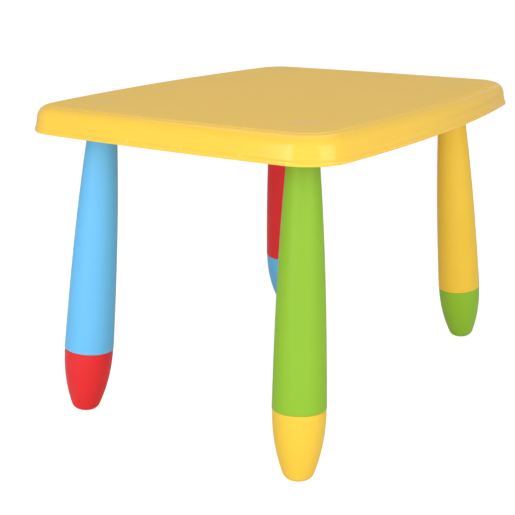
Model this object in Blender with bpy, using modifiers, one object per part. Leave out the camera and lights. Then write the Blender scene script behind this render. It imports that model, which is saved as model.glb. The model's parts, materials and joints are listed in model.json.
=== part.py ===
"""Children's table: a moulded plastic top on four splayed, bat-shaped legs.

Metres, +Z up. The origin is on the floor, under the middle of the table.
X runs across the table, Y along it. Each leg is a hollow tapered tube with a
plug-in foot, and its round neck screws into a threaded ring held in a boss
under the top.
"""
import bpy
import bmesh
from math import atan2, cos, hypot, pi, sin, sqrt
from mathutils import Matrix, Vector

# ---- driving dimensions (metres) -------------------------------------------

HEIGHT = 0.478            # floor to the table surface
WIDTH = 0.548             # lip to lip across X
LENGTH = 0.682            # lip to lip along Y
LONG_SIDE_BOW = 0.0261    # how far each long side bulges at its middle
SHORT_SIDE_BOW = 0.0076   # how far each short side bulges at its middle
CORNER_RADIUS = 0.0613    # plan radius of the corners, at the lip

SKIRT_HEIGHT = 0.0372     # rim of the skirt to the table surface
LIP_FLARE = 0.0021        # how far the lip stands out from the skirt
LIP_HEIGHT = 0.0085
LIP_FACE = 0.0036         # upright face of the lip, below its slope
SKIRT_DRAFT = 0.0019      # inward lean of the skirt between lip and shoulder
SHOULDER_WIDTH = 0.0163   # rounded shoulder, across
SHOULDER_HEIGHT = 0.0200  # rounded shoulder, down
PANEL_STEP = 0.0012       # raised middle panel, above the shoulder
PANEL_BEVEL = 0.0030      # sloping edge of the raised panel, across

TOP_WALL = 0.0030         # wall of the top moulding
RIB_THICKNESS = 0.0022
RIB_DEPTH = 0.0140        # ribs, below the underside of the panel
RIB_CELLS_ACROSS = 6      # half-diamonds from the middle to a long side
RIB_CELLS_ALONG = 7       # half-diamonds from the middle to a short side

FOOT_INSET_X = 0.0760     # lip to where a leg's axis meets the floor
FOOT_INSET_Y = 0.0405
SOCKET_INSET_X = 0.1018   # lip to where a leg's axis meets its socket ring
SOCKET_INSET_Y = 0.0928
SOCKET_RECESS = 0.0022    # the ring's lower face, up inside the skirt's rim

LEG_RADIUS = 0.0375       # widest, at the seam with the foot
LEG_TOP_RADIUS = 0.0205   # at the shoulder that meets the socket
TAPER_STRAIGHT = 0.45     # share of the tube's taper that is even; the rest is a curve
TAPER_CURVE = 2.6         # power of that curve
LEG_WALL = 0.0028
FOOT_HEIGHT = 0.1013      # sole to seam, along the axis
FOOT_CURVE = 2.2          # power of the foot's narrowing, from the seam to the sole
SEAM_STEP = 0.0005        # the foot's rim, in from the tube
SOLE_RADIUS = 0.0185      # foot radius at the sole, before its edge is rounded
SOLE_ROUND = 0.0080       # rounding of the sole's edge
SOLE_THICKNESS = 0.0045
SOLE_SINK = 0.0010        # slice taken off the splayed sole so it stands level

NECK_RADIUS = 0.0165      # crest of the thread on the leg's neck
NECK_CHAMFER = 0.0012
NECK_END_GAP = 0.00476    # end of the neck to the top of its ring
SPIGOT_LENGTH = 0.0180    # foot's spigot, inside the leg

RING_WALL = 0.0042        # threaded ring, bore to outside
RING_FLANGE = 0.0030      # how far the ring's flange stands out over the boss
FLANGE_THICKNESS = 0.0020
BOSS_WALL = 0.0030        # boss that holds the ring

FIT_GAP = 0.0003          # between pieces that touch
THREAD_CLEARANCE = 0.0005 # neck to ring, so that the leg draws straight out
MERGE_DISTANCE = 0.00005  # closes a turned section at its axis

ROUND_STEPS = 24          # facets round a leg
TUBE_STEPS = 6            # facets up the outside of a leg tube
FOOT_STEPS = 5
SOLE_STEPS = 3
LONG_SIDE_STEPS = 5       # facets on half of a long side
SHORT_SIDE_STEPS = 4
CORNER_STEPS = 7
SHOULDER_STEPS = 5

# ---- derived dimensions -----------------------------------------------------

RIM_Z = HEIGHT - SKIRT_HEIGHT
CEILING_Z = HEIGHT - TOP_WALL
FOOT_X = WIDTH / 2 - FOOT_INSET_X
FOOT_Y = LENGTH / 2 - FOOT_INSET_Y
SOCKET_X = WIDTH / 2 - SOCKET_INSET_X
SOCKET_Y = LENGTH / 2 - SOCKET_INSET_Y
SOCKET_Z = RIM_Z + SOCKET_RECESS
RING_BORE = NECK_RADIUS + THREAD_CLEARANCE
RING_RADIUS = RING_BORE + RING_WALL
BOSS_BORE = RING_RADIUS + FIT_GAP
BOSS_RADIUS = BOSS_BORE + BOSS_WALL
FLANGE_RADIUS = RING_RADIUS + RING_FLANGE
SKIRT_INSET = LIP_FLARE + SKIRT_DRAFT
SHOULDER_INSET = SKIRT_INSET + SHOULDER_WIDTH

YELLOW = (0.98, 0.62, 0.09)
AMBER = (0.86, 0.54, 0.06)
BLUE = (0.21, 0.60, 0.95)
DARK_BLUE = (0.13, 0.42, 0.66)
RED = (0.86, 0.05, 0.055)
GREEN = (0.35, 0.64, 0.065)

# Each leg: name, side of the table across and along, leg colour, foot colour.
LEGS = (
    ("blue", -1, -1, BLUE, RED),
    ("green", 1, -1, GREEN, YELLOW),
    ("yellow", 1, 1, AMBER, GREEN),
    ("red", -1, 1, RED, DARK_BLUE),
)


# ---- scene, materials and small helpers --------------------------------------

def clear_scene():
    for obj in list(bpy.data.objects):
        bpy.data.objects.remove(obj, do_unlink=True)


def new_collection(name):
    collection = bpy.data.collections.new(name)
    bpy.context.scene.collection.children.link(collection)
    return collection


def plastic(name, color, roughness=0.35):
    material = bpy.data.materials.new(name)
    material.use_nodes = True
    shader = material.node_tree.nodes["Principled BSDF"]
    shader.inputs["Base Color"].default_value = (*color, 1.0)
    shader.inputs["Roughness"].default_value = roughness
    shader.inputs["Metallic"].default_value = 0.0
    return material


def add_object(name, mesh, collection, material=None):
    obj = bpy.data.objects.new(name, mesh)
    collection.objects.link(obj)
    if material:
        mesh.materials.append(material)
    return obj


def mesh_from(name, bm):
    bmesh.ops.recalc_face_normals(bm, faces=bm.faces)
    mesh = bpy.data.meshes.new(name)
    bm.to_mesh(mesh)
    bm.free()
    return mesh


def make_guide(obj):
    obj.hide_render = True
    obj.display_type = "WIRE"
    return obj


def cut(target, cutter):
    modifier = target.modifiers.new(cutter.name, "BOOLEAN")
    modifier.operation = "DIFFERENCE"
    modifier.solver = "EXACT"
    modifier.object = cutter


# ---- plan outline of the top ---------------------------------------------------

def arc(centre, radius, start, end, steps):
    """Points from start up to, but not including, end."""
    points = []
    for i in range(steps):
        angle = start + (end - start) * i / steps
        points.append((centre[0] + radius * cos(angle), centre[1] + radius * sin(angle)))
    return points


def outline(inset):
    """Bowed rectangle with round corners, moved inwards by inset."""
    half_width = WIDTH / 2
    half_length = LENGTH / 2
    long_radius = (half_length ** 2 + LONG_SIDE_BOW ** 2) / (2 * LONG_SIDE_BOW)
    short_radius = (half_width ** 2 + SHORT_SIDE_BOW ** 2) / (2 * SHORT_SIDE_BOW)
    long_centre = (half_width - long_radius, 0.0)
    short_centre = (0.0, half_length - short_radius)

    # The corner's centre is where circles parallel to both sides cross.
    from_long = long_radius - CORNER_RADIUS
    from_short = short_radius - CORNER_RADIUS
    dx = short_centre[0] - long_centre[0]
    dy = short_centre[1] - long_centre[1]
    distance = hypot(dx, dy)
    along = (from_long ** 2 - from_short ** 2 + distance ** 2) / (2 * distance)
    aside = sqrt(from_long ** 2 - along ** 2)
    corner = (
        long_centre[0] + (along * dx - aside * dy) / distance,
        long_centre[1] + (along * dy + aside * dx) / distance,
    )
    long_end = atan2(corner[1] - long_centre[1], corner[0] - long_centre[0])
    short_start = atan2(corner[1] - short_centre[1], corner[0] - short_centre[0])

    quarter = arc(long_centre, long_radius - inset, 0.0, long_end, LONG_SIDE_STEPS)
    quarter += arc(corner, CORNER_RADIUS - inset, long_end, short_start, CORNER_STEPS)
    quarter += arc(short_centre, short_radius - inset, short_start, pi / 2, SHORT_SIDE_STEPS)
    quarter.append((0.0, half_length - inset))

    back_left = [(-x, y) for x, y in reversed(quarter[:-1])]
    upper = quarter + back_left
    lower = [(x, -y) for x, y in reversed(upper[1:-1])]
    return upper + lower


def loft(name, sections):
    """Closed mesh through outlines of one point count, given as (inset, z)."""
    bm = bmesh.new()
    loops = []
    for inset, z in sections:
        loops.append([bm.verts.new((x, y, z)) for x, y in outline(inset)])
    for above, below in zip(loops, loops[1:]):
        for i in range(len(above)):
            j = (i + 1) % len(above)
            bm.faces.new((above[i], above[j], below[j], below[i]))
    bm.faces.new(loops[0])
    bm.faces.new(loops[-1])
    return mesh_from(name, bm)


def shoulder_sections(shrink):
    """Quarter ellipse from the panel's foot down to the skirt, moved in by shrink."""
    sections = []
    for i in range(SHOULDER_STEPS + 1):
        angle = pi / 2 * i / SHOULDER_STEPS
        inset = SHOULDER_INSET - (SHOULDER_WIDTH - shrink) * sin(angle)
        z = HEIGHT - PANEL_STEP - SHOULDER_HEIGHT + (SHOULDER_HEIGHT - shrink) * cos(angle)
        sections.append((inset, z))
    return sections


def outer_sections():
    sections = [(SHOULDER_INSET + PANEL_BEVEL, HEIGHT)]
    sections += shoulder_sections(0.0)
    sections += [
        (LIP_FLARE, RIM_Z + LIP_HEIGHT),
        (0.0, RIM_Z + LIP_FACE),
        (0.0, RIM_Z),
    ]
    return sections


def cavity_sections():
    sections = [(SHOULDER_INSET + PANEL_BEVEL, CEILING_Z)]
    sections += shoulder_sections(TOP_WALL)
    sections.append((LIP_FLARE + TOP_WALL, RIM_Z - TOP_WALL))
    return sections


# ---- legs: frame and profiles -----------------------------------------------------

def leg_axis(side_x, side_y):
    """Foot point on the floor, and the unit direction up the leg."""
    foot = Vector((side_x * FOOT_X, side_y * FOOT_Y, 0.0))
    socket = Vector((side_x * SOCKET_X, side_y * SOCKET_Y, SOCKET_Z))
    return foot, (socket - foot).normalized()


def leg_length():
    return hypot(FOOT_X - SOCKET_X, FOOT_Y - SOCKET_Y, SOCKET_Z) + SOLE_SINK


def leg_matrix(side_x, side_y):
    """Leg frame: origin at the sole, +Z up the leg's axis."""
    foot, direction = leg_axis(side_x, side_y)
    turn = direction.to_track_quat("Z", "Y").to_matrix().to_4x4()
    return Matrix.Translation(foot - direction * SOLE_SINK) @ turn


def foot_radius(z):
    """Outside of the foot, narrowing from the seam to the sole."""
    rise = 1 - z / FOOT_HEIGHT
    seam_radius = LEG_RADIUS - SEAM_STEP
    radius = seam_radius - (seam_radius - SOLE_RADIUS) * rise ** FOOT_CURVE
    if z < SOLE_ROUND:
        drop = 1 - z / SOLE_ROUND
        radius -= SOLE_ROUND * (1 - sqrt(1 - drop ** 2))
    return radius


def tube_radius(z):
    """Outside of the leg tube, from the seam up to its shoulder."""
    rise = (z - FOOT_HEIGHT) / (leg_length() - FOOT_HEIGHT)
    taper = TAPER_STRAIGHT * rise + (1 - TAPER_STRAIGHT) * rise ** TAPER_CURVE
    return LEG_RADIUS - (LEG_RADIUS - LEG_TOP_RADIUS) * taper


def stations(low, high, steps):
    return [low + (high - low) * i / steps for i in range(steps + 1)]


def tube_profile():
    """(radius, z) round the leg tube's section: outside down, inside up."""
    top = leg_length() - FIT_GAP
    bottom = FOOT_HEIGHT + FIT_GAP
    neck_top = top + ring_length() - NECK_END_GAP
    outside = [
        (0.0, neck_top),
        (NECK_RADIUS - NECK_CHAMFER, neck_top),
        (NECK_RADIUS, neck_top - NECK_CHAMFER),
        (NECK_RADIUS, top),
    ]
    outside += [(tube_radius(z), z) for z in reversed(stations(bottom, top, TUBE_STEPS))]
    inside = [(tube_radius(z) - LEG_WALL, z) for z in stations(bottom, top - LEG_WALL, TUBE_STEPS // 2)]
    inside += [
        (NECK_RADIUS - LEG_WALL, top + LEG_WALL),
        (NECK_RADIUS - LEG_WALL, neck_top - LEG_WALL),
        (0.0, neck_top - LEG_WALL),
    ]
    return outside + inside


def foot_profile():
    """(radius, z) round the foot's section: spigot, outside down, inside up."""
    spigot_top = FOOT_HEIGHT + SPIGOT_LENGTH
    spigot_gap = LEG_WALL + FIT_GAP
    outside = [(tube_radius(spigot_top) - spigot_gap, spigot_top)]
    outside.append((tube_radius(FOOT_HEIGHT) - spigot_gap, FOOT_HEIGHT))
    outside += [(foot_radius(z), z) for z in reversed(stations(SOLE_ROUND, FOOT_HEIGHT, FOOT_STEPS))]
    for angle in stations(0.0, pi / 2, SOLE_STEPS)[1:]:
        z = SOLE_ROUND * (1 - sin(angle))
        outside.append((foot_radius(z), z))
    outside.append((0.0, 0.0))
    inner = spigot_gap + LEG_WALL
    inside = [(0.0, SOLE_THICKNESS), (foot_radius(SOLE_ROUND) - inner, SOLE_THICKNESS)]
    inside += [(foot_radius(z) - inner, z) for z in stations(SOLE_ROUND, FOOT_HEIGHT, FOOT_STEPS // 2)[1:]]
    inside.append((tube_radius(spigot_top) - inner, spigot_top))
    return outside + inside


def ring_profile():
    """(radius, z) round the threaded ring, with z = 0 at the leg's shoulder."""
    top = ring_length()
    return [
        (RING_BORE, top),
        (RING_RADIUS, top),
        (RING_RADIUS, FLANGE_THICKNESS),
        (FLANGE_RADIUS, FLANGE_THICKNESS),
        (FLANGE_RADIUS, 0.0),
        (RING_BORE, 0.0),
    ]


def ring_length():
    """Ring, shoulder to top, kept below the panel although it leans."""
    _, direction = leg_axis(1, 1)
    lean = sqrt(1 - direction.z ** 2)
    room = CEILING_Z - SOCKET_Z - BOSS_RADIUS * lean
    return room / direction.z - FIT_GAP


def turned(name, profile, collection, material):
    """Body of revolution about Z, from a section drawn at +X."""
    bm = bmesh.new()
    verts = [bm.verts.new((radius, 0.0, z)) for radius, z in profile]
    for a, b in zip(verts, verts[1:]):
        bm.edges.new((a, b))
    if profile[0][0] > 0.0:
        bm.edges.new((verts[-1], verts[0]))
    mesh = bpy.data.meshes.new(name)
    bm.to_mesh(mesh)
    bm.free()
    obj = add_object(name, mesh, collection, material)
    screw = obj.modifiers.new("turn", "SCREW")
    screw.axis = "Z"
    screw.steps = ROUND_STEPS
    screw.render_steps = ROUND_STEPS
    screw.use_merge_vertices = True
    screw.merge_threshold = MERGE_DISTANCE
    screw.use_smooth_shade = True
    return obj


# ---- the top ----------------------------------------------------------------------

def rib_set(name, direction, cutters):
    """Parallel upright webs that run corner to corner across the diamonds."""
    half_width = WIDTH / 2 - LIP_FLARE - TOP_WALL
    half_length = LENGTH / 2 - LIP_FLARE - TOP_WALL
    pitch_x = half_width / RIB_CELLS_ACROSS
    pitch_y = half_length / RIB_CELLS_ALONG
    angle = atan2(-direction * pitch_y, pitch_x)
    count = (RIB_CELLS_ACROSS + RIB_CELLS_ALONG) // 2
    low = CEILING_Z - RIB_DEPTH
    high = HEIGHT + TOP_WALL
    bm = bmesh.new()
    for k in range(-count, count + 1):
        place = Matrix.Translation((2 * k * pitch_x, 0.0, (low + high) / 2))
        place = place @ Matrix.Rotation(angle, 4, "Z")
        size = Matrix.Diagonal((3 * LENGTH, RIB_THICKNESS, high - low, 1.0))
        bmesh.ops.create_cube(bm, size=1.0, matrix=place @ size)
    return make_guide(add_object(name, mesh_from(name, bm), cutters))


def leaning_cylinders(name, radius, low, high, cutters):
    """One cylinder on each leg's axis, from low to high along the axis."""
    bm = bmesh.new()
    for _, side_x, side_y, _, _ in LEGS:
        place = leg_matrix(side_x, side_y) @ Matrix.Translation((0.0, 0.0, (low + high) / 2))
        bmesh.ops.create_cone(
            bm,
            cap_ends=True,
            segments=ROUND_STEPS,
            radius1=radius,
            radius2=radius,
            depth=high - low,
            matrix=place,
        )
    return make_guide(add_object(name, mesh_from(name, bm), cutters))


def make_top(parts, cutters):
    """One moulding: panel, shoulder, skirt and lip, ribs and four bosses below."""
    top = add_object("table_top", loft("table_top", outer_sections()), parts,
                     plastic("top_plastic", YELLOW))
    boss_rim = leg_length() + FLANGE_THICKNESS + FIT_GAP
    boss_end = boss_rim + SKIRT_HEIGHT + BOSS_RADIUS
    bore_start = boss_rim - BOSS_RADIUS
    bore_end = leg_length() + ring_length() + FIT_GAP

    cavity = make_guide(add_object("cavity", loft("cavity", cavity_sections()), cutters))
    cut(cavity, rib_set("ribs_left", 1, cutters))
    cut(cavity, rib_set("ribs_right", -1, cutters))
    cut(cavity, leaning_cylinders("bosses", BOSS_RADIUS, boss_rim, boss_end, cutters))
    cut(top, cavity)
    cut(top, leaning_cylinders("socket_bores", BOSS_BORE, bore_start, bore_end, cutters))


# ---- the legs -------------------------------------------------------------------------

def make_leg(leg, parts, cutters):
    name, side_x, side_y, leg_color, foot_color = leg
    axis = bpy.data.objects.new("axis_" + name, None)
    parts.objects.link(axis)
    axis.matrix_world = leg_matrix(side_x, side_y)

    ring = turned("socket_ring_" + name, ring_profile(), parts, plastic("ring_" + name, YELLOW))
    ring.parent = axis
    ring.location.z = leg_length()

    tube = turned("leg_tube_" + name, tube_profile(), parts, plastic("leg_" + name, leg_color))
    tube.parent = axis

    foot = turned("leg_foot_" + name, foot_profile(), parts, plastic("foot_" + name, foot_color))
    foot.parent = axis
    cut(foot, floor_block(side_x, side_y, name, cutters))


def floor_block(side_x, side_y, name, cutters):
    """Block under the floor that trims the leaning sole level."""
    bm = bmesh.new()
    width = 4 * LEG_RADIUS
    place = Matrix.Translation((side_x * FOOT_X, side_y * FOOT_Y, -width / 2))
    bmesh.ops.create_cube(bm, size=width, matrix=place)
    return make_guide(add_object("floor_" + name, mesh_from("floor_" + name, bm), cutters))


def main():
    clear_scene()
    parts = new_collection("childrens_table")
    cutters = new_collection("cutters")
    make_top(parts, cutters)
    for leg in LEGS:
        make_leg(leg, parts, cutters)


main()
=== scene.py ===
"""Looks of the children's table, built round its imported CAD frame.

Metres, +Z up, in the frame's own axes. The top is one fine moulded shell with
its rib lattice and socket bosses below; each leg is a turned tube with a real
helical thread on its neck, a turned foot, and a threaded ring in the top.
"""
import json
from math import atan2, cos, hypot, pi, radians, sin, sqrt

import bmesh
import bpy
import numpy as np
from mathutils import Euler, Matrix, Vector


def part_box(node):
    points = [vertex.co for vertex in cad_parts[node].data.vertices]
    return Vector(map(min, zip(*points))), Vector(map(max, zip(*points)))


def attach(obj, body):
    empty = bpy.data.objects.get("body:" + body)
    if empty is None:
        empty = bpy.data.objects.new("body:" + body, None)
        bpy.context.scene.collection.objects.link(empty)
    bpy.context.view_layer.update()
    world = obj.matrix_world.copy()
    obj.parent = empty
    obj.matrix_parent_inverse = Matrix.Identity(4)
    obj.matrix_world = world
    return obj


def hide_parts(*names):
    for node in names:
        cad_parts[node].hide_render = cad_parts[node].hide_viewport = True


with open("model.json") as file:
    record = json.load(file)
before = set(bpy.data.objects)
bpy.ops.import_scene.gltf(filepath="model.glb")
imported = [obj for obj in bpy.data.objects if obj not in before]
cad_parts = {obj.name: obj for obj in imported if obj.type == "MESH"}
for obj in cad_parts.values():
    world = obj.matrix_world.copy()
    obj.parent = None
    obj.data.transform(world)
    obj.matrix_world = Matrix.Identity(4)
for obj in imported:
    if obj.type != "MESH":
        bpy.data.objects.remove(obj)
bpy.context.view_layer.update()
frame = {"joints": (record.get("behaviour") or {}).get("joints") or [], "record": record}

# ---- sizes from the frame ------------------------------------------------------

TOP_LOW, TOP_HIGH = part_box("table_top")
WIDTH = TOP_HIGH.x - TOP_LOW.x
LENGTH = TOP_HIGH.y - TOP_LOW.y
HEIGHT = TOP_HIGH.z
RIM_Z = TOP_LOW.z
MOUNTS = {mount["name"]: mount for mount in frame["record"]["mounts"]}
JOINTS = {joint["name"]: joint for joint in frame["joints"]}

# ---- sizes of the details, in metres, as in the CAD model ------------------------

LONG_SIDE_BOW = 0.0261
SHORT_SIDE_BOW = 0.0076
CORNER_RADIUS = 0.0613

LIP_FLARE = 0.0021
LIP_HEIGHT = 0.0085
LIP_FACE = 0.0036         # upright face of the lip, below its slope
LIP_ROUND = 0.0014
SKIRT_DRAFT = 0.0019
SHOULDER_WIDTH = 0.0163
SHOULDER_HEIGHT = 0.0200
PANEL_STEP = 0.0012
PANEL_BEVEL = 0.0030

TOP_WALL = 0.0030
RIB_ROOT = 0.0024
RIB_TIP = 0.0016
RIB_DEPTH = 0.0140
RIB_CELLS_ACROSS = 6
RIB_CELLS_ALONG = 7

SOCKET_DROP = 0.0350
LEG_RADIUS = 0.0375
LEG_TOP_RADIUS = 0.0205
LEG_WALL = 0.0028
FOOT_HEIGHT = 0.1013
FOOT_CURVE = 2.2
SEAM_STEP = 0.0005
SOLE_RADIUS = 0.0185
SOLE_ROUND = 0.0080
SOLE_THICKNESS = 0.0045
SOLE_SINK = 0.0010
NECK_RADIUS = 0.0165
NECK_LENGTH = 0.0240
SPIGOT_LENGTH = 0.0180
RING_WALL = 0.0042
RING_FLANGE = 0.0030
FLANGE_THICKNESS = 0.0020
BOSS_WALL = 0.0030
FIT_GAP = 0.0003
THREAD_CLEARANCE = 0.0005

# Details that only the fine meshes have.
THREAD_PITCH = 0.0060
THREAD_DEPTH = 0.0014
SEAM_ROUND = 0.0006       # rounded edges of a leg's two halves at their seam
SOCKET_SINK = 0.00022     # shallow dish in the panel over each socket
RIB_SINK = 0.00005        # fainter hollow over each rib
SINK_RADIUS = 0.0270      # the round sink marks, where their smoother finish and painted sheen tint end
RIB_END_GLINT_RADIUS = 0.0030
RIB_END_GLINT_HEIGHT = 0.0070   # painted glint spots on the skirt where ribs end behind it, above its rim

SHOULDER_INSET = LIP_FLARE + SKIRT_DRAFT + SHOULDER_WIDTH
CEILING_Z = HEIGHT - TOP_WALL
SOCKET_Z = HEIGHT - SOCKET_DROP
RING_BORE = NECK_RADIUS + THREAD_CLEARANCE
RING_RADIUS = RING_BORE + RING_WALL
BOSS_BORE = RING_RADIUS + FIT_GAP
BOSS_RADIUS = BOSS_BORE + BOSS_WALL
FLANGE_RADIUS = RING_RADIUS + RING_FLANGE

# Leg name: side across, side along, colour of the leg, colour of its foot.
LEGS = {
    "blue": (-1, -1, "blue", "red"),
    "green": (1, -1, "green", "yellow"),
    "yellow": (1, 1, "yellow", "green"),
    "red": (-1, 1, "red", "blue"),
}

# Linear base colours.
COLORS = {
    "top": (0.92, 0.582, 0.058),
    "yellow": (0.86, 0.553, 0.045),
    "blue": (0.142, 0.507, 0.860),
    "green": (0.256, 0.490, 0.022),
    "red": (0.76, 0.018, 0.022),
}
# Painted sheen: the sink marks are tinted paler, standing in for how their dishes reflect light.
SINK_SHEEN_COLOR = (0.87, 0.562, 0.076)
# Painted glint: a lighter colour for the small bright spots where the ribs end.
RIB_END_GLINT_COLOR = (1.0, 0.75, 0.20)


# ---- materials ---------------------------------------------------------------------

def link(tree, source, target):
    tree.links.new(source, target)


def noise(tree, coordinates, scale, detail=3.0, roughness=0.5):
    node = tree.nodes.new("ShaderNodeTexNoise")
    node.inputs["Scale"].default_value = scale
    node.inputs["Detail"].default_value = detail
    node.inputs["Roughness"].default_value = roughness
    link(tree, coordinates, node.inputs["Vector"])
    return node.outputs["Fac"]


def remap(tree, value, low, high, new_low, new_high):
    node = tree.nodes.new("ShaderNodeMapRange")
    node.interpolation_type = "SMOOTHSTEP"
    node.inputs["From Min"].default_value = low
    node.inputs["From Max"].default_value = high
    node.inputs["To Min"].default_value = new_low
    node.inputs["To Max"].default_value = new_high
    link(tree, value, node.inputs["Value"])
    return node.outputs["Result"]


def math_node(tree, operation, a, b):
    node = tree.nodes.new("ShaderNodeMath")
    node.operation = operation
    for socket, value in zip(node.inputs, (a, b)):
        if isinstance(value, (int, float)):
            socket.default_value = value
        else:
            link(tree, value, socket)
    return node.outputs["Value"]


def bump(tree, height, strength, distance, below=None):
    node = tree.nodes.new("ShaderNodeBump")
    node.inputs["Strength"].default_value = strength
    node.inputs["Distance"].default_value = distance
    link(tree, height, node.inputs["Height"])
    if below:
        link(tree, below, node.inputs["Normal"])
    return node.outputs["Normal"]


def tinted(tree, color, amount, factor):
    """The colour, drifting between a little darker and a little lighter."""
    node = tree.nodes.new("ShaderNodeMix")
    node.data_type = "RGBA"
    darker = [channel * (1 - amount) for channel in color]
    lighter = [min(1.0, channel * (1 + amount)) for channel in color]
    node.inputs["A"].default_value = (*darker, 1.0)
    node.inputs["B"].default_value = (*lighter, 1.0)
    link(tree, factor, node.inputs["Factor"])
    return node.outputs["Result"]


def start_plastic(name, shine=0.5):
    material = bpy.data.materials.new(name)
    material.use_nodes = True
    tree = material.node_tree
    shader = tree.nodes["Principled BSDF"]
    shader.inputs["IOR"].default_value = 1.49
    shader.inputs["Specular IOR Level"].default_value = shine
    shader.inputs["Subsurface Weight"].default_value = 0.10
    shader.inputs["Subsurface Radius"].default_value = (1.0, 0.7, 0.4)
    shader.inputs["Subsurface Scale"].default_value = 0.003
    coordinates = tree.nodes.new("ShaderNodeTexCoord").outputs["Object"]
    return material, tree, shader, coordinates


def blend(tree, factor, base, color):
    """Base where the factor is 0, the other colour where it is 1."""
    node = tree.nodes.new("ShaderNodeMix")
    node.data_type = "RGBA"
    node.inputs["B"].default_value = (*color, 1.0)
    link(tree, base, node.inputs["A"])
    link(tree, factor, node.inputs["Factor"])
    return node.outputs["Result"]


def length_of(tree, a, b):
    squares = [math_node(tree, "MULTIPLY", value, value) for value in (a, b)]
    return math_node(tree, "SQRT", math_node(tree, "ADD", *squares), 0.0)


def sink_and_sheen_mask(tree, x, y):
    """1 in the round sink marks that the socket bosses leave in the panel: there the panel is smoother
    and carries a painted sheen tint.
    """
    place, up = leg_place("yellow")
    centre = place.translation + up * ((HEIGHT - place.translation.z) / up.z)
    across = math_node(tree, "SUBTRACT", math_node(tree, "ABSOLUTE", x, 0.0), centre.x)
    along = math_node(tree, "SUBTRACT", math_node(tree, "ABSOLUTE", y, 0.0), centre.y)
    distance = length_of(tree, across, along)
    return remap(tree, distance, SINK_RADIUS * 0.5, SINK_RADIUS, 1.0, 0.0)


def rib_end_glint_mask(tree, x, y, z):
    """1 in the small painted glint spots on the skirt where ribs end behind the short sides."""
    pitch, _ = rib_pitch()
    wrapped = math_node(tree, "MODULO", math_node(tree, "ABSOLUTE", x, 0.0), 2 * pitch)
    across = math_node(tree, "SUBTRACT", wrapped, pitch)
    up = math_node(tree, "SUBTRACT", z, RIM_Z + RIB_END_GLINT_HEIGHT)
    spot = remap(tree, length_of(tree, across, up), RIB_END_GLINT_RADIUS * 0.3, RIB_END_GLINT_RADIUS, 1.0, 0.0)
    ends = math_node(tree, "GREATER_THAN", math_node(tree, "ABSOLUTE", y, 0.0), LENGTH / 2 - 0.02)
    aside = math_node(tree, "ABSOLUTE", math_node(tree, "SUBTRACT", x, pitch), 0.0)
    middle = math_node(tree, "LESS_THAN", aside, 2.5 * pitch)
    return math_node(tree, "MULTIPLY", spot, math_node(tree, "MULTIPLY", ends, middle))


def leg_plastic(name, color):
    """Satin moulded polypropylene: faint flow mottling over a fine grain."""
    material, tree, shader, coordinates = start_plastic(name, shine=0.35)
    flow = noise(tree, coordinates, 14.0, 2.0)
    grain = noise(tree, coordinates, 1900.0, 2.0)
    waves = noise(tree, coordinates, 55.0, 1.0)
    link(tree, tinted(tree, color, 0.025, flow), shader.inputs["Base Color"])
    link(tree, remap(tree, grain, 0.3, 0.7, 0.40, 0.48), shader.inputs["Roughness"])
    wavy = bump(tree, waves, 0.25, 0.0004)
    link(tree, bump(tree, grain, 0.10, 0.0001, wavy), shader.inputs["Normal"])
    return material


def top_plastic(name, color):
    """Glossy on the skirt and shoulder, finely textured on the raised panel, with a painted sheen tint in
    the sink marks and painted glint spots on the skirt.
    """
    material, tree, shader, coordinates = start_plastic(name)
    split = tree.nodes.new("ShaderNodeSeparateXYZ")
    link(tree, coordinates, split.inputs["Vector"])
    x, y, z = split.outputs
    panel = remap(tree, z, HEIGHT - PANEL_STEP - 0.0012, HEIGHT - PANEL_STEP - 0.0002, 0.0, 1.0)
    sinks = math_node(tree, "MULTIPLY", sink_and_sheen_mask(tree, x, y), panel)
    rib_end_glints = rib_end_glint_mask(tree, x, y, z)
    flow = noise(tree, coordinates, 9.0, 2.0)
    grain = noise(tree, coordinates, 1300.0, 3.0, 0.6)
    waves = noise(tree, coordinates, 38.0, 1.0)

    base = tinted(tree, color, 0.02, flow)
    # painted sheen tint over the sink marks; the dishes themselves are real geometry
    base = blend(tree, sinks, base, SINK_SHEEN_COLOR)
    # painted glints where the ribs end behind the skirt, at half strength
    shader_color = blend(tree, math_node(tree, "MULTIPLY", rib_end_glints, 0.5), base, RIB_END_GLINT_COLOR)
    link(tree, shader_color, shader.inputs["Base Color"])

    textured = remap(tree, grain, 0.3, 0.7, 0.42, 0.52)
    textured = math_node(tree, "SUBTRACT", textured, math_node(tree, "MULTIPLY", sinks, 0.08))
    glossy = remap(tree, grain, 0.3, 0.7, 0.14, 0.18)
    difference = math_node(tree, "SUBTRACT", textured, glossy)
    share = math_node(tree, "MULTIPLY", difference, panel)
    link(tree, math_node(tree, "ADD", glossy, share), shader.inputs["Roughness"])

    grain_height = math_node(tree, "MULTIPLY", grain, math_node(tree, "ADD", panel, 0.15))
    wavy = bump(tree, waves, 0.20, 0.0004)
    link(tree, bump(tree, grain_height, 0.30, 0.0001, wavy), shader.inputs["Normal"])
    return material


def floor_paint(name, brightness, glow):
    material = bpy.data.materials.new(name)
    material.use_nodes = True
    tree = material.node_tree
    shader = tree.nodes["Principled BSDF"]
    coordinates = tree.nodes.new("ShaderNodeTexCoord").outputs["Object"]
    color = (brightness, brightness, brightness)
    link(tree, tinted(tree, color, 0.01, noise(tree, coordinates, 3.0)),
         shader.inputs["Base Color"])
    shader.inputs["Roughness"].default_value = 0.7
    shader.inputs["Specular IOR Level"].default_value = 0.2
    shader.inputs["Emission Color"].default_value = (1.0, 1.0, 1.0, 1.0)
    shader.inputs["Emission Strength"].default_value = glow
    return material


# ---- mesh helpers --------------------------------------------------------------------

def add_mesh(name, mesh, material=None):
    obj = bpy.data.objects.new(name, mesh)
    bpy.context.scene.collection.objects.link(obj)
    if material:
        mesh.materials.append(material)
    return obj


def shade(obj, degrees=32.0):
    obj.data.shade_smooth()
    obj.data.set_sharp_from_angle(angle=radians(degrees))


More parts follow.
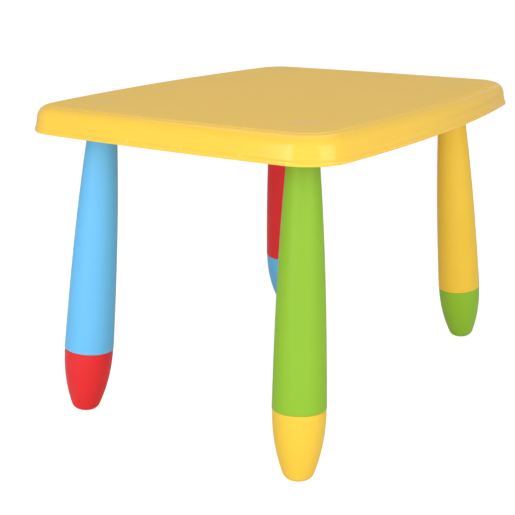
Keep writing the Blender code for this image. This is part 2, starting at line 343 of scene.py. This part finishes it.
def mesh_of_rings(name, rings, close_ends=True):
    """Closed mesh from rings of points. Neighbouring rings are joined by quads."""
    count = len(rings[0])
    points = np.concatenate(rings)
    steps = np.arange(count)
    after = (steps + 1) % count
    faces = []
    for k in range(len(rings) - 1):
        above = k * count
        below = above + count
        quads = np.stack([above + steps, below + steps, below + after, above + after], axis=1)
        faces.extend(quads.tolist())
    if close_ends:
        faces.append(list(range(count)))
        last = (len(rings) - 1) * count
        faces.append(list(range(last + count - 1, last - 1, -1)))
    mesh = bpy.data.meshes.new(name)
    mesh.from_pydata(points.tolist(), [], faces)
    mesh.update()
    return mesh


def outward(mesh):
    bm = bmesh.new()
    bm.from_mesh(mesh)
    bmesh.ops.recalc_face_normals(bm, faces=bm.faces)
    bm.to_mesh(mesh)
    bm.free()
    return mesh


def subtract(target, cutter):
    """Cuts the cutter out of the target for good and removes the cutter."""
    modifier = target.modifiers.new("cut", "BOOLEAN")
    modifier.operation = "DIFFERENCE"
    modifier.solver = "EXACT"
    modifier.object = cutter
    graph = bpy.context.evaluated_depsgraph_get()
    mesh = bpy.data.meshes.new_from_object(target.evaluated_get(graph))
    target.modifiers.clear()
    target.data = mesh
    bpy.data.objects.remove(cutter)


def stations(low, high, steps):
    return [low + (high - low) * i / steps for i in range(steps + 1)]


# ---- outline of the top --------------------------------------------------------------

def arc(centre, radius, start, end, steps):
    angles = start + (end - start) * np.arange(steps) / steps
    return np.stack([centre[0] + radius * np.cos(angles), centre[1] + radius * np.sin(angles)], 1)


def outline(inset, long_steps=40, corner_steps=30, short_steps=30):
    """Bowed rectangle with round corners, moved inwards by inset."""
    half_width = WIDTH / 2
    half_length = LENGTH / 2
    long_radius = (half_length ** 2 + LONG_SIDE_BOW ** 2) / (2 * LONG_SIDE_BOW)
    short_radius = (half_width ** 2 + SHORT_SIDE_BOW ** 2) / (2 * SHORT_SIDE_BOW)
    long_centre = (half_width - long_radius, 0.0)
    short_centre = (0.0, half_length - short_radius)
    from_long = long_radius - CORNER_RADIUS
    from_short = short_radius - CORNER_RADIUS
    dx = short_centre[0] - long_centre[0]
    dy = short_centre[1] - long_centre[1]
    distance = hypot(dx, dy)
    along = (from_long ** 2 - from_short ** 2 + distance ** 2) / (2 * distance)
    aside = sqrt(from_long ** 2 - along ** 2)
    corner = (
        long_centre[0] + (along * dx - aside * dy) / distance,
        long_centre[1] + (along * dy + aside * dx) / distance,
    )
    long_end = atan2(corner[1] - long_centre[1], corner[0] - long_centre[0])
    short_start = atan2(corner[1] - short_centre[1], corner[0] - short_centre[0])
    quarter = np.concatenate([
        arc(long_centre, long_radius - inset, 0.0, long_end, long_steps),
        arc(corner, CORNER_RADIUS - inset, long_end, short_start, corner_steps),
        arc(short_centre, short_radius - inset, short_start, pi / 2, short_steps),
        [(0.0, half_length - inset)],
    ])
    back_left = quarter[-2::-1] * (-1, 1)
    upper = np.concatenate([quarter, back_left])
    lower = upper[-2:0:-1] * (1, -1)
    return np.concatenate([upper, lower])


def ring_at(inset, z, **steps):
    flat = outline(inset, **steps)
    return np.column_stack([flat, np.full(len(flat), z)])


# ---- the top ---------------------------------------------------------------------------

def leg_place(name):
    """Leg frame: origin at the sole, +Z up the leg's axis."""
    sole = Vector(MOUNTS[f"sole_{name}_leg"]["pos_m"])
    up = -Vector(JOINTS[f"unscrew_{name}"]["axis"]).normalized()
    turn = up.to_track_quat("Z", "Y").to_matrix().to_4x4()
    return Matrix.Translation(sole - up * SOLE_SINK) @ turn, up


def leg_length():
    """Sole to shoulder, along the axis."""
    _, up = leg_place("blue")
    return SOCKET_Z / up.z + SOLE_SINK


def rib_pitch():
    half_width = WIDTH / 2 - LIP_FLARE - TOP_WALL
    half_length = LENGTH / 2 - LIP_FLARE - TOP_WALL
    return half_width / RIB_CELLS_ACROSS, half_length / RIB_CELLS_ALONG


def panel_height(x, y):
    """Surface of the panel, with the faint sinks over the ribs and sockets."""
    z = np.full(len(x), HEIGHT)
    pitch_x, pitch_y = rib_pitch()
    across = pitch_x * pitch_y / hypot(pitch_x, pitch_y)
    for side in (1, -1):
        phase = (x / pitch_x + side * y / pitch_y) / 2
        distance = np.abs(phase - np.round(phase)) * 2 * across
        z -= RIB_SINK * np.exp(-(distance / 0.0035) ** 2)
    for name in LEGS:
        place, up = leg_place(name)
        foot = place.translation
        reach = (HEIGHT - foot.z) / up.z
        centre = foot + up * reach
        distance = np.hypot(x - centre.x, y - centre.y) / (BOSS_RADIUS * 0.9)
        z -= SOCKET_SINK * np.exp(-distance ** 4)
    return z


def panel_rings():
    """Rings of the flat panel, from near its middle out to its edge."""
    edge = outline(SHOULDER_INSET + PANEL_BEVEL)
    rings = []
    for share in stations(0.006, 1.0, 118):
        flat = edge * share
        fade = min(1.0, (1.0 - share) / 0.03)
        z = HEIGHT + (panel_height(flat[:, 0], flat[:, 1]) - HEIGHT) * fade
        rings.append(np.column_stack([flat, z]))
    return rings


def outer_rings():
    """Rings from the panel's edge over the shoulder and down to the rim."""
    rings = []
    for share in stations(0.0, 1.0, 8)[1:]:
        inset = SHOULDER_INSET + PANEL_BEVEL * (1 - share)
        rings.append(ring_at(inset, HEIGHT - PANEL_STEP * (0.5 - 0.5 * cos(pi * share))))
    shoulder_foot = HEIGHT - PANEL_STEP - SHOULDER_HEIGHT
    for turn in stations(0.0, pi / 2, 22)[1:]:
        inset = SHOULDER_INSET - SHOULDER_WIDTH * sin(turn)
        rings.append(ring_at(inset, shoulder_foot + SHOULDER_HEIGHT * cos(turn)))
    lip_top = RIM_Z + LIP_HEIGHT
    for share in stations(0.0, 1.0, 4)[1:]:
        z = shoulder_foot + (lip_top - shoulder_foot) * share
        rings.append(ring_at(LIP_FLARE + SKIRT_DRAFT * (1 - share), z))
    lip_edge = RIM_Z + LIP_FACE
    for share in stations(0.0, 1.0, 8)[1:]:
        ease = 0.5 - 0.5 * cos(pi * share)
        rings.append(ring_at(LIP_FLARE * (1 - ease), lip_top + (lip_edge - lip_top) * share))
    for turn in stations(0.0, pi / 2, 5):
        inset = LIP_ROUND * (1 - cos(turn))
        rings.append(ring_at(inset, RIM_Z + LIP_ROUND * (1 - sin(turn))))
    return rings


def cavity_mesh():
    """Hollow of the top, before the ribs and bosses are left standing in it."""
    rings = [ring_at(SHOULDER_INSET + PANEL_BEVEL, CEILING_Z)]
    shoulder_foot = HEIGHT - PANEL_STEP - SHOULDER_HEIGHT
    for turn in stations(0.0, pi / 2, 12):
        inset = SHOULDER_INSET - (SHOULDER_WIDTH - TOP_WALL) * sin(turn)
        rings.append(ring_at(inset, shoulder_foot + (SHOULDER_HEIGHT - TOP_WALL) * cos(turn)))
    rings.append(ring_at(LIP_FLARE + TOP_WALL, RIM_Z + LIP_ROUND))
    rings.append(ring_at(LIP_FLARE + TOP_WALL - LIP_ROUND * 2, RIM_Z - LIP_ROUND))
    return outward(mesh_of_rings("cavity", rings))


def rib_mesh(side):
    """Parallel ribs, a little thinner at their tips than at their roots."""
    pitch_x, pitch_y = rib_pitch()
    count = (RIB_CELLS_ACROSS + RIB_CELLS_ALONG) // 2
    angle = atan2(-side * pitch_y, pitch_x)
    low = CEILING_Z - RIB_DEPTH
    high = HEIGHT + TOP_WALL
    bm = bmesh.new()
    for k in range(-count, count + 1):
        place = Matrix.Translation((2 * k * pitch_x, 0.0, (low + high) / 2))
        place = place @ Matrix.Rotation(angle, 4, "Z")
        size = Matrix.Diagonal((3 * LENGTH, 1.0, high - low, 1.0))
        made = bmesh.ops.create_cube(bm, size=1.0)
        for vert in made["verts"]:
            vert.co.y *= RIB_TIP if vert.co.z < 0 else RIB_ROOT
        bmesh.ops.transform(bm, matrix=place @ size, verts=made["verts"])
    mesh = bpy.data.meshes.new("ribs")
    bm.to_mesh(mesh)
    bm.free()
    return mesh


def leaning_cylinders(radius, low, high):
    bm = bmesh.new()
    for name in LEGS:
        place, _ = leg_place(name)
        bmesh.ops.create_cone(
            bm,
            cap_ends=True,
            segments=96,
            radius1=radius,
            radius2=radius,
            depth=high - low,
            matrix=place @ Matrix.Translation((0.0, 0.0, (low + high) / 2)),
        )
    mesh = bpy.data.meshes.new("cylinders")
    bm.to_mesh(mesh)
    bm.free()
    return mesh


def make_top(material):
    rings = panel_rings() + outer_rings()
    top = add_mesh("top_moulding", outward(mesh_of_rings("top_moulding", rings)), material)
    boss_rim = leg_length() + FLANGE_THICKNESS + FIT_GAP
    bore_end = leg_length() + ring_length() + FIT_GAP
    cavity = add_mesh("cavity", cavity_mesh())
    subtract(cavity, add_mesh("ribs_left", rib_mesh(1)))
    subtract(cavity, add_mesh("ribs_right", rib_mesh(-1)))
    bosses = leaning_cylinders(BOSS_RADIUS, boss_rim, boss_rim + SOCKET_DROP + BOSS_RADIUS)
    subtract(cavity, add_mesh("bosses", bosses))
    subtract(top, cavity)
    bores = leaning_cylinders(BOSS_BORE, boss_rim - BOSS_RADIUS, bore_end)
    subtract(top, add_mesh("bores", bores))
    shade(top)
    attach(top, "table")
    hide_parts("table_top")
    return top


# ---- turned pieces -----------------------------------------------------------------------

def foot_radius(z):
    rise = 1 - z / FOOT_HEIGHT
    seam_radius = LEG_RADIUS - SEAM_STEP
    radius = seam_radius - (seam_radius - SOLE_RADIUS) * rise ** FOOT_CURVE
    if z < SOLE_ROUND:
        drop = 1 - z / SOLE_ROUND
        radius -= SOLE_ROUND * (1 - sqrt(1 - drop ** 2))
    return radius


def tube_radius(z):
    rise = (z - FOOT_HEIGHT) / (leg_length() - FOOT_HEIGHT)
    taper = 0.45 * rise + 0.55 * max(rise, 0.0) ** 2.6
    return LEG_RADIUS - (LEG_RADIUS - LEG_TOP_RADIUS) * taper


def ring_length():
    _, up = leg_place("blue")
    lean = sqrt(1 - up.z ** 2)
    room = CEILING_Z - SOCKET_Z - BOSS_RADIUS * lean
    return room / up.z - FIT_GAP


def rounded(corner_r, corner_z, from_side, to_side, radius, steps=4):
    """Quarter round at a corner, between unit directions that leave it."""
    centre_r = corner_r + radius * (from_side[0] + to_side[0])
    centre_z = corner_z + radius * (from_side[1] + to_side[1])
    points = []
    for turn in stations(0.0, pi / 2, steps):
        r = centre_r - radius * (to_side[0] * cos(turn) + from_side[0] * sin(turn))
        z = centre_z - radius * (to_side[1] * cos(turn) + from_side[1] * sin(turn))
        points.append((r, z))
    return points


def tube_profile():
    """Closed section of the leg tube: neck, outside down, inside up."""
    top = leg_length() - FIT_GAP
    bottom = FOOT_HEIGHT + FIT_GAP
    neck_top = top + NECK_LENGTH
    points = [(0.0, neck_top)]
    points += rounded(NECK_RADIUS, neck_top, (-1, 0), (0, -1), 0.0012)
    points += [(NECK_RADIUS, z) for z in reversed(stations(top + 0.0004, neck_top - 0.0012, 64))][1:]
    points += rounded(LEG_TOP_RADIUS, top, (-1, 0), (0, -1), 0.0010)
    points += [(tube_radius(z), z) for z in reversed(stations(bottom + SEAM_ROUND, top - 0.0010, 60))][1:]
    points += rounded(tube_radius(bottom), bottom, (0, 1), (-1, 0), SEAM_ROUND)[1:]
    points += [(tube_radius(z) - LEG_WALL, z) for z in stations(bottom, top - LEG_WALL, 12)]
    points += [
        (NECK_RADIUS - LEG_WALL, top + LEG_WALL),
        (NECK_RADIUS - LEG_WALL, neck_top - LEG_WALL),
        (0.0, neck_top - LEG_WALL),
    ]
    return points


def foot_profile():
    """Closed section of the foot: spigot, rim, outside down, inside up."""
    spigot_top = FOOT_HEIGHT + SPIGOT_LENGTH
    spigot_gap = LEG_WALL + FIT_GAP
    inner = spigot_gap + LEG_WALL
    rim = LEG_RADIUS - SEAM_STEP
    points = rounded(tube_radius(spigot_top) - spigot_gap, spigot_top, (-1, 0), (0, -1), 0.0008)
    points.append((tube_radius(FOOT_HEIGHT) - spigot_gap, FOOT_HEIGHT))
    points += rounded(rim, FOOT_HEIGHT, (-1, 0), (0, -1), SEAM_ROUND)
    for z in reversed(stations(SOLE_ROUND, FOOT_HEIGHT - SEAM_ROUND, 36)[:-1]):
        points.append((foot_radius(z), z))
    for turn in stations(0.0, pi / 2, 16)[1:]:
        z = SOLE_ROUND * (1 - sin(turn))
        points.append((foot_radius(z), z))
    points += [(foot_radius(0.0) * share, 0.0) for share in (0.75, 0.5, 0.25, 0.0)]
    points += [(0.0, SOLE_THICKNESS), (foot_radius(SOLE_ROUND) - inner, SOLE_THICKNESS)]
    points += [(foot_radius(z) - inner, z) for z in stations(SOLE_ROUND, FOOT_HEIGHT, 10)[1:]]
    points.append((tube_radius(spigot_top) - inner, spigot_top))
    return points


def ring_profile():
    """Closed section of the threaded ring, with z = 0 at the leg's shoulder."""
    top = ring_length()
    points = [(RING_BORE, top)]
    points += rounded(RING_RADIUS, top, (-1, 0), (0, -1), 0.0006)
    points += [(RING_RADIUS, FLANGE_THICKNESS)]
    points += rounded(FLANGE_RADIUS, FLANGE_THICKNESS, (-1, 0), (0, -1), 0.0005)
    points += rounded(FLANGE_RADIUS, 0.0, (0, 1), (-1, 0), 0.0005)
    points += [(RING_BORE, z) for z in stations(0.0, top, 76)[:-1]]
    return points


def thread(z, angle, start, end):
    """Height of a round-topped helical thread, 0 to 1, run out at both ends."""
    phase = z / THREAD_PITCH - angle / (2 * pi)
    wave = 0.5 + 0.5 * np.cos(2 * pi * phase)
    tooth = np.clip((wave - 0.25) / 0.45, 0.0, 1.0)
    run_out = np.clip((z - start) / 0.003, 0.0, 1.0) * np.clip((end - z) / 0.003, 0.0, 1.0)
    return tooth * run_out


def turned(name, profile, material, steps=144, shift=None):
    """Closed body of revolution about Z from a section drawn at +X."""
    angles = 2 * pi * np.arange(steps) / steps
    open_section = profile[0][0] == 0.0 or profile[-1][0] == 0.0
    points = []
    first = []
    for r, z in profile:
        first.append(len(points))
        if r == 0.0:
            points.append((0.0, 0.0, z))
            continue
        radius = np.full(steps, r)
        if shift:
            radius = radius + shift(r, z, angles)
        ring = np.column_stack([radius * np.cos(angles), radius * np.sin(angles), np.full(steps, z)])
        points.extend(ring.tolist())
    pairs = list(zip(range(len(profile) - 1), range(1, len(profile))))
    if not open_section:
        pairs.append((len(profile) - 1, 0))
    faces = []
    for a, b in pairs:
        pole_a = profile[a][0] == 0.0
        pole_b = profile[b][0] == 0.0
        if pole_a and pole_b:
            continue
        for i in range(steps):
            j = (i + 1) % steps
            if pole_a:
                faces.append((first[a], first[b] + i, first[b] + j))
            elif pole_b:
                faces.append((first[a] + j, first[a] + i, first[b]))
            else:
                faces.append((first[a] + j, first[a] + i, first[b] + i, first[b] + j))
    mesh = bpy.data.meshes.new(name)
    mesh.from_pydata(points, [], faces)
    return add_mesh(name, outward(mesh), material)


def neck_shift(r, z, angles):
    """Cuts the thread's groove into the neck and leaves the crest at full radius."""
    start = leg_length() + 0.001
    end = leg_length() + NECK_LENGTH - 0.0005
    if abs(r - NECK_RADIUS) > 1e-6 or not start < z < end:
        return np.zeros(len(angles))
    return -THREAD_DEPTH * (1 - thread(z, angles, start, end))


def bore_shift(r, z, angles):
    """Cuts the matching groove into the ring's bore."""
    if abs(r - RING_BORE) > 1e-6:
        return np.zeros(len(angles))
    return THREAD_DEPTH * thread(z + leg_length(), angles, leg_length(), leg_length() + ring_length())


def level_sole(obj):
    """Flattens whatever hangs below the floor, as the sole is cut level."""
    for vert in obj.data.vertices:
        vert.co.z = max(vert.co.z, 0.0)


def make_leg(name, plastics):
    _, _, leg_color, foot_color = LEGS[name]
    place, _ = leg_place(name)
    body = "leg_" + name

    tube = turned("tube_" + name, tube_profile(), plastics[leg_color], shift=neck_shift)
    tube.data.transform(place)
    foot = turned("foot_" + name + "_leg", foot_profile(), plastics[foot_color])
    foot.data.transform(place)
    level_sole(foot)
    ring = turned("ring_" + name, ring_profile(), plastics["yellow"], shift=bore_shift)
    ring.data.transform(place @ Matrix.Translation((0.0, 0.0, leg_length())))

    for obj, owner, node, slot in (
        (tube, body, "leg_tube_" + name, "plastic_" + leg_color),
        (foot, body, "leg_foot_" + name, "plastic_" + foot_color),
        (ring, "table", "socket_ring_" + name, "socket_ring"),
    ):
        shade(obj)
        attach(obj, owner)
        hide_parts(node)


# ---- studio ----------------------------------------------------------------------------

CAMERA_PLACE = Vector((0.757, -1.2279, 0.6669))
CAMERA_YAW = 0.5559       # radians, turned left from +Y
CAMERA_PITCH = -0.3120
CAMERA_LENS = 62.9        # mm on a 36 mm sensor
CAMERA_SHIFT = (-0.0584, -0.0014)
WORLD_STRENGTH = 0.45
FLOOR_GLOW = 0.86
FLOOR_BOUNCE = 0.80


def make_camera():
    data = bpy.data.cameras.new("camera")
    data.sensor_width = 36.0
    data.lens = CAMERA_LENS
    data.shift_x, data.shift_y = CAMERA_SHIFT
    camera = bpy.data.objects.new("camera", data)
    camera.location = CAMERA_PLACE
    camera.rotation_euler = Euler((pi / 2 + CAMERA_PITCH, 0.0, CAMERA_YAW))
    bpy.context.scene.collection.objects.link(camera)
    bpy.context.scene.camera = camera


def ground(name, z, material):
    mesh = bpy.data.meshes.new(name)
    size = 20.0
    corners = [(-size, -size, z), (size, -size, z), (size, size, z), (-size, size, z)]
    mesh.from_pydata(corners, [], [(0, 1, 2, 3)])
    plane = add_mesh(name, mesh, material)
    return plane


def make_floor():
    """White floor to look at, and a dimmer one just below that only throws light back."""
    floor = ground("floor", 0.0, floor_paint("floor_white", 0.30, FLOOR_GLOW))
    floor.visible_diffuse = False
    floor.visible_glossy = False
    floor.visible_shadow = False
    bounce = ground("floor_bounce", -0.001, floor_paint("floor_bounce", FLOOR_BOUNCE, 0.0))
    bounce.visible_camera = False


def softbox(name, turn, distance, height, size, power, reflected=True):
    """Area light that faces the table, turned about it from the camera's side."""
    data = bpy.data.lights.new(name, "AREA")
    data.shape = "RECTANGLE"
    data.size, data.size_y = size
    data.energy = power
    light = bpy.data.objects.new(name, data)
    light.visible_glossy = reflected
    aim = Vector((0.0, 0.0, 0.30))
    heading = atan2(CAMERA_PLACE.y, CAMERA_PLACE.x) + radians(turn)
    light.location = (distance * cos(heading), distance * sin(heading), height)
    light.rotation_euler = (aim - light.location).to_track_quat("-Z", "Y").to_euler()
    bpy.context.scene.collection.objects.link(light)


def studio_world():
    world = bpy.data.worlds.new("studio")
    world.use_nodes = True
    background = world.node_tree.nodes["Background"]
    background.inputs["Color"].default_value = (1.0, 1.0, 1.0, 1.0)
    background.inputs["Strength"].default_value = WORLD_STRENGTH
    return world


def make_lights():
    bpy.context.scene.world = studio_world()
    softbox("softbox_left", -41.0, 1.95, 0.78, (0.66, 1.3), 7.8)
    softbox("softbox_right", 41.0, 2.0, 0.78, (1.30, 1.3), 10.0)
    softbox("front_fill", 0.0, 2.2, 1.2, (2.8, 1.8), 12.5, reflected=False)
    softbox("low_fill", -10.0, 2.2, 0.4, (2.8, 0.8), 10.5, reflected=False)
    softbox("overhead", 180.0, 0.6, 2.4, (2.4, 2.4), 13.5)
    softbox("backdrop", 180.0, 3.0, 1.0, (4.0, 1.6), 2.6)
    softbox("side_fill", 90.0, 2.2, 0.8, (2.0, 1.6), 1.0)


def main():
    bpy.context.scene.view_settings.view_transform = "Standard"
    make_camera()
    make_floor()
    make_lights()
    make_top(top_plastic("top_plastic", COLORS["top"]))
    plastics = {}
    for color in ("yellow", "blue", "green", "red"):
        plastics[color] = leg_plastic(color + "_plastic", COLORS[color])
    for name in LEGS:
        make_leg(name, plastics)


main()
